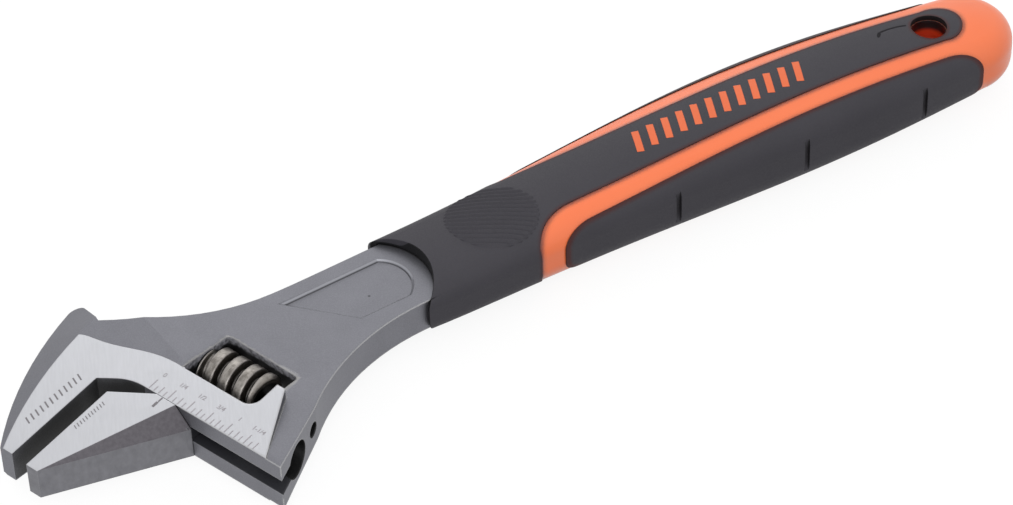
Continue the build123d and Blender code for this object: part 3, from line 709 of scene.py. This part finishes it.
INK_HEIGHT = 0.06 * MM
INK_PROUD = 0.015 * MM           # the middle of a mark's thickness above the face


def deselect():
    """Leaves nothing selected."""
    for thing in bpy.context.selected_objects:
        thing.select_set(False)


def settle(piece, name, finish, body, place=None):
    """Names a piece, puts its place into its mesh, and lets it ride on a body."""
    if place is not None:
        piece.matrix_world = place @ piece.matrix_world
    piece.name = name
    piece.data.name = name
    bpy.context.view_layer.update()
    piece.data.transform(piece.matrix_world)
    piece.matrix_world = Matrix.Identity(4)
    piece.data.materials.clear()
    piece.data.materials.append(finish)
    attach(piece, body)
    return piece


def apply_all(piece):
    """Makes a piece's modifiers part of its mesh."""
    bpy.context.view_layer.objects.active = piece
    for modifier in list(piece.modifiers):
        bpy.ops.object.modifier_apply(modifier=modifier.name)


def joined(pieces):
    """One mesh out of several."""
    deselect()
    for piece in pieces:
        piece.select_set(True)
    bpy.context.view_layer.objects.active = pieces[0]
    bpy.ops.object.join()
    return bpy.context.object


def face_place(across, back):
    """Seat for ink on the ground face of the head: x across, y back, z out of the face."""
    up = (Vector((0, 0, 1)) - back_way * JAW_TAPER).normalized()
    lean_back = (back_way + Vector((0, 0, JAW_TAPER))).normalized()
    seat = head_point(across, back, face_height(back)) + up * INK_PROUD
    turn = Matrix((across_way, lean_back, up)).transposed()
    return Matrix.Translation(seat) @ turn.to_4x4()


# ---- Etched scale along the slide, in sixteenths of an inch

INCH = 25.4 * MM
SCALE_ZERO = 13.3 * MM
SCALE_MARKS = 22
MARK_EDGE = SLIDE_BACK + 0.3 * MM
MARK_LENGTHS = {4: 3.3 * MM, 2: 2.4 * MM, 1: 1.7 * MM}
MARK_WIDTH = 0.26 * MM
FIGURES = ("0", "1/4", "1/2", "3/4", "1", "1-1/4")
FIGURE_ASIDE = 0.5 * MM          # a figure's middle lies this far past its mark
FIGURE_BACK = 10.1 * MM
FIGURE_SIZE = 1.9 * MM


def mark(across, back, width, length, turn=0.0):
    """A thin etched line lying on the ground face, about its middle."""
    deselect()
    bpy.ops.mesh.primitive_cube_add(size=1)
    line = bpy.context.object
    line.scale = (width, length, INK_HEIGHT)
    line.rotation_euler = (0, 0, turn)
    bpy.context.view_layer.update()
    line.matrix_world = face_place(across, back) @ line.matrix_world
    bpy.context.view_layer.update()
    line.data.transform(line.matrix_world)
    line.matrix_world = Matrix.Identity(4)
    return line


def scale_marks():
    """The row of marks, longer at the quarters and eighths."""
    lines = []
    for step in range(SCALE_MARKS + 1):
        length = next(size for every, size in MARK_LENGTHS.items() if step % every == 0)
        lines.append(mark(SCALE_ZERO + step * INCH / 16, MARK_EDGE + length / 2, MARK_WIDTH, length))
    return settle(joined(lines), "scale_marks", ink, "handle")


def scale_figure(quarter, words):
    """A figure etched beside its quarter of an inch, read with the handle side up."""
    deselect()
    bpy.ops.object.text_add()
    text = bpy.context.object
    text.data.body = words
    text.data.size = FIGURE_SIZE
    text.data.align_x = "CENTER"
    text.data.extrude = INK_HEIGHT / 2
    bpy.ops.object.convert(target="MESH")
    place = face_place(SCALE_ZERO + FIGURE_ASIDE + quarter * INCH / 4, FIGURE_BACK)
    return settle(bpy.context.object, f"scale_figure_{quarter}", ink, "handle", place)


scale_marks()
for quarter, words in enumerate(FIGURES):
    scale_figure(quarter, words)


# ---- Index mark on the sliding jaw and plain hatching on both jaws

INDEX_BASE = {"across": 18.3 * MM, "back": 2.0 * MM, "width": 0.7 * MM, "length": 1.9 * MM}
INDEX_TIP = {"across": 18.4 * MM, "back": 3.9 * MM, "width": 0.4 * MM, "length": 1.5 * MM}
HATCH_SLANT = math.radians(68)


def index_mark():
    """A short mark that narrows toward the scale."""
    parts = [mark(**INDEX_BASE), mark(**INDEX_TIP)]
    return settle(joined(parts), "index_mark", dark_ink, "jaw")


def hatching(name, body, *, start, end, count, width, length):
    """A row of short slanted lines between two places given across and back."""
    lines = []
    for number in range(count):
        share = number / (count - 1)
        across, back = (first + (last - first) * share for first, last in zip(start, end))
        lines.append(mark(across, back, width, length, HATCH_SLANT))
    return settle(joined(lines), name, dark_ink, body)


index_mark()
hatching("fixed_jaw_hatching", "handle", start=(-4.4 * MM, -20.6 * MM),
         end=(-3.7 * MM, -2.4 * MM), count=12, width=0.4 * MM, length=2.3 * MM)
hatching("sliding_jaw_hatching", "jaw", start=(7.0 * MM, -15.2 * MM),
         end=(7.4 * MM, -5.4 * MM), count=11, width=0.25 * MM, length=1.3 * MM)


# ---- Pieces laid on the sleeve

LAYING_HEIGHT = 30 * MM          # pieces drop from here, above the whole wrench


def lay_on_sleeve(piece, proud=0.0):
    """Drops a flat piece onto the top of the sleeve."""
    wrap = piece.modifiers.new("drop", "SHRINKWRAP")
    wrap.target = nodes["grip_sleeve"]
    wrap.wrap_method = "PROJECT"
    wrap.use_project_z = True
    wrap.use_negative_direction = True
    wrap.use_positive_direction = False
    wrap.offset = proud
    apply_all(piece)


def keep_only(piece, wanted):
    """Deletes the points of a piece that are not wanted."""
    deselect()
    piece.select_set(True)
    bpy.context.view_layer.objects.active = piece
    bpy.ops.object.mode_set(mode="EDIT")
    bpy.ops.mesh.select_mode(type="VERT")
    bpy.ops.mesh.select_all(action="DESELECT")
    bpy.ops.object.mode_set(mode="OBJECT")
    for vertex in piece.data.vertices:
        vertex.select = not wanted(vertex.co)
    bpy.ops.object.mode_set(mode="EDIT")
    bpy.ops.mesh.delete(type="VERT")
    bpy.ops.object.mode_set(mode="OBJECT")


def thicken(piece, thickness):
    """Gives a laid sheet a body below its face."""
    solid = piece.modifiers.new("body", "SOLIDIFY")
    solid.thickness = thickness
    solid.offset = -1
    apply_all(piece)


# ---- Thumb rest: a raised oval of fine wavy ribs on top of the sleeve

THUMB_CENTRE = Vector((-140.0 * MM, -6.6 * MM))
THUMB_RADII = (12.8 * MM, 11.6 * MM)
THUMB_TURN = math.radians(-29.7)
RIB_PITCH = 1.5 * MM
RIB_HEIGHT = 0.45 * MM
RIB_WAVE = 0.22 * MM             # the ribs waver by this much
RIB_SWELL = (3.2 * MM, 5 * MM)   # the waver's length for each radian, along and across
RIB_FOOT = 0.03 * MM             # the grooves' floor above the sleeve
THUMB_STEPS = 170
THUMB_FADE = 0.05                # the ribs run out over this share of the oval
THUMB_SINK = 0.1 * MM            # and its rim lies this far inside the sleeve
THUMB_SKIN = 0.5 * MM


def thumb_place(point):
    """Place on the thumb rest, along its ribs and out across them."""
    place = point.xy - THUMB_CENTRE
    ribs_way = Vector((math.cos(THUMB_TURN), math.sin(THUMB_TURN)))
    return place.dot(ribs_way), place.dot(Vector((-ribs_way.y, ribs_way.x)))


def thumb_reach(point):
    """0 at the middle of the thumb rest and 1 on its rim."""
    along, out = thumb_place(point)
    return math.hypot(along / THUMB_RADII[0], out / THUMB_RADII[1])


def thumb_rest():
    """A fine sheet laid on the sleeve, cut to the oval and raised into ribs."""
    deselect()
    bpy.ops.mesh.primitive_grid_add(x_subdivisions=THUMB_STEPS, y_subdivisions=THUMB_STEPS,
                                    size=2 * max(THUMB_RADII), location=(*THUMB_CENTRE, LAYING_HEIGHT))
    pad = bpy.context.object
    pad.rotation_euler = (0, 0, THUMB_TURN)
    bpy.ops.object.transform_apply()
    keep_only(pad, lambda point: thumb_reach(point) < 1)
    lay_on_sleeve(pad)
    keep_only(pad, lambda point: point.z < LAYING_HEIGHT - MM)
    for vertex in pad.data.vertices:
        along, out = thumb_place(vertex.co)
        wave = RIB_WAVE * math.sin(along / RIB_SWELL[0]) * math.sin(out / RIB_SWELL[1])
        rib = 0.5 + 0.5 * math.cos(2 * math.pi * (out + wave) / RIB_PITCH)
        full = min(max((1 - thumb_reach(vertex.co)) / THUMB_FADE, 0), 1)
        vertex.co.z += full * (RIB_FOOT + RIB_HEIGHT * rib ** 1.5) - (1 - full) * THUMB_SINK
    thicken(pad, THUMB_SKIN)
    bpy.ops.object.shade_smooth()
    return settle(pad, "thumb_rest", rib_rubber, "handle")


thumb_rest()


# ---- Generic slanted bars printed along the sleeve's panel

BAR_FIRST, BAR_LAST = 93.5 * MM, 42 * MM   # along the handle line, from the hang hole
BAR_COUNT = 12
BAR_LENGTH = 8.2 * MM
BAR_WIDTH = 2.0 * MM
BAR_SLANT = math.radians(-22)
BAR_ASIDE = 0.5 * MM             # the row's middle, beside the handle line
PRINT_HEIGHT = 0.05 * MM         # printed and moulded marks stand this far off the sleeve
PRINT_SKIN = 0.3 * MM


def handle_line(distance):
    """Place on the handle's middle line at this distance from the hang hole, and its turn there."""
    turned = (distance - BEND_START) / BEND_RADIUS
    x = -BEND_START - BEND_RADIUS * math.sin(turned)
    y = -BEND_RADIUS * (1 - math.cos(turned))
    return Vector((x, y, 0)), turned


def printed_bars():
    """A row of slanted bars that follows the handle's bend."""
    bars = []
    for number in range(BAR_COUNT):
        distance = BAR_FIRST + (BAR_LAST - BAR_FIRST) * number / (BAR_COUNT - 1)
        middle, turned = handle_line(distance)
        deselect()
        bpy.ops.mesh.primitive_grid_add(x_subdivisions=4, y_subdivisions=14, size=1)
        bar = bpy.context.object
        bar.scale = (BAR_WIDTH, BAR_LENGTH, 1)
        bar.rotation_euler = (0, 0, turned + BAR_SLANT)
        bar.location = (middle.x, middle.y + BAR_ASIDE, LAYING_HEIGHT)
        bpy.ops.object.transform_apply()
        bars.append(bar)
    row = joined(bars)
    lay_on_sleeve(row, PRINT_HEIGHT)
    thicken(row, PRINT_SKIN)
    return settle(row, "panel_bars", printed, "handle")


printed_bars()


# ---- Short moulded line beside the hang hole, laid as a dark strip for the shade of a groove

LINE_SIZE = (8.8 * MM, 0.6 * MM, 1)
LINE_PLACE = (-9.6 * MM, 4.2 * MM, LAYING_HEIGHT)
LINE_BEND = math.radians(-32)
LINE_TURN = math.radians(-4)
BLOB_RADIUS = 1 * MM
BLOB_STRETCH = (1.25, 0.5, 1)
BLOB_PLACE = (-14.2 * MM, 3.2 * MM, LAYING_HEIGHT)
BLOB_TURN = math.radians(50)


def hole_line():
    """A thin bent dark line with a thicker end, standing in for the shade of a moulded groove."""
    deselect()
    bpy.ops.mesh.primitive_circle_add(vertices=24, radius=BLOB_RADIUS, fill_type="NGON",
                                      location=BLOB_PLACE, rotation=(0, 0, BLOB_TURN))
    blob = bpy.context.object
    blob.scale = BLOB_STRETCH
    bpy.ops.object.transform_apply()
    bpy.ops.mesh.primitive_grid_add(x_subdivisions=20, y_subdivisions=3, size=1)
    line = bpy.context.object
    line.scale = LINE_SIZE
    bpy.ops.object.transform_apply()
    curve = line.modifiers.new("curve", "SIMPLE_DEFORM")
    curve.deform_method = "BEND"
    curve.deform_axis = "Z"
    curve.angle = LINE_BEND
    apply_all(line)
    line.location = LINE_PLACE
    line.rotation_euler = (0, 0, LINE_TURN)
    bpy.ops.object.transform_apply()
    line = joined([line, blob])
    lay_on_sleeve(line, PRINT_HEIGHT)
    thicken(line, PRINT_SKIN)
    return settle(line, "hole_line", groove_shade_rubber, "handle")


hole_line()


# ---- Floor, light and camera

WHITE = (1, 1, 1, 1)
FLOOR_SIZE = 8
FLOOR_COLOUR = (0.16, 0.16, 0.16, 1)
FLOOR_GLOW = 0.88                # the floor's own light, for the eye and for reflections
SKY_LIGHT, SKY_SEEN = 0.75, 1.0  # the sky's strength on the wrench, and to the eye
LAMP_SIZE = 0.5
LAMP_AIM = (-0.14, -0.01, 0)
LAMPS = {                        # place and power
    "key_lamp": ((-0.45, -0.65, 0.70), 2.6),
    "far_lamp": ((0.10, 0.75, 0.55), 1.0),
}
CAMERA_AZIMUTH = math.radians(-27.06)
CAMERA_ELEVATION = math.radians(43.02)
CAMERA_ROLL = math.radians(-1.88)
CAMERA_TARGET = Vector((-138.85, -12.37, 0.5)) * MM
CAMERA_DISTANCE = 1019.91 * MM
CAMERA_LENS = 137.98
CAMERA_SENSOR = 36


def floor():
    """A plain white floor that shows white to the eye and keeps a faint shadow."""
    deselect()
    bpy.ops.mesh.primitive_plane_add(size=FLOOR_SIZE, location=(0, 0, cad_box[0].z))
    sheet = bpy.context.object
    sheet.name = "floor"
    finish = Finish("white_floor", 0.9, specular=0.0)
    finish.colour(FLOOR_COLOUR)
    finish.join(WHITE, finish.shader.inputs["Emission Color"])
    glow = finish.maths("MULTIPLY", finish.seen(), FLOOR_GLOW)
    finish.join(glow, finish.shader.inputs["Emission Strength"])
    sheet.data.materials.append(finish.material)


def sky():
    """An even white light all round, a little brighter to the eye than on the wrench."""
    world = bpy.data.worlds.new("studio")
    bpy.context.scene.world = world
    world.use_nodes = True
    shading = Shading(world.node_tree)
    background = shading.tree.nodes["Background"]
    shading.join(WHITE, background.inputs["Color"])
    strength = shading.add("ShaderNodeMapRange")
    shading.join(shading.seen(), strength.inputs["Value"])
    shading.join(SKY_LIGHT, strength.inputs["To Min"])
    shading.join(SKY_SEEN, strength.inputs["To Max"])
    shading.join(strength.outputs[0], background.inputs["Strength"])


def soft_lamp(name, place, power):
    """A square soft box that points at the middle of the wrench."""
    data = bpy.data.lights.new(name, "AREA")
    data.size = LAMP_SIZE
    data.energy = power
    lamp = bpy.data.objects.new(name, data)
    lamp.location = place
    lamp.rotation_euler = (Vector(LAMP_AIM) - Vector(place)).to_track_quat("-Z", "Y").to_euler()
    bpy.context.scene.collection.objects.link(lamp)


def camera():
    """Looks along the wrench from the head's side, from above."""
    level = math.cos(CAMERA_ELEVATION)
    back = Vector((math.sin(CAMERA_AZIMUTH) * level, -math.cos(CAMERA_AZIMUTH) * level,
                   math.sin(CAMERA_ELEVATION)))
    right = (-back).cross(Vector((0, 0, 1))).normalized()
    up = right.cross(-back)
    side = right * math.cos(CAMERA_ROLL) + up * math.sin(CAMERA_ROLL)
    top = up * math.cos(CAMERA_ROLL) - right * math.sin(CAMERA_ROLL)
    data = bpy.data.cameras.new("camera")
    data.lens = CAMERA_LENS
    data.sensor_width = CAMERA_SENSOR
    made = bpy.data.objects.new("camera", data)
    turn = Matrix((side, top, back)).transposed()
    made.matrix_world = Matrix.Translation(CAMERA_TARGET + back * CAMERA_DISTANCE) @ turn.to_4x4()
    bpy.context.scene.collection.objects.link(made)
    bpy.context.scene.camera = made


floor()
sky()
for name, (place, power) in LAMPS.items():
    soft_lamp(name, place, power)
camera()
bpy.context.scene.view_settings.view_transform = "Standard"
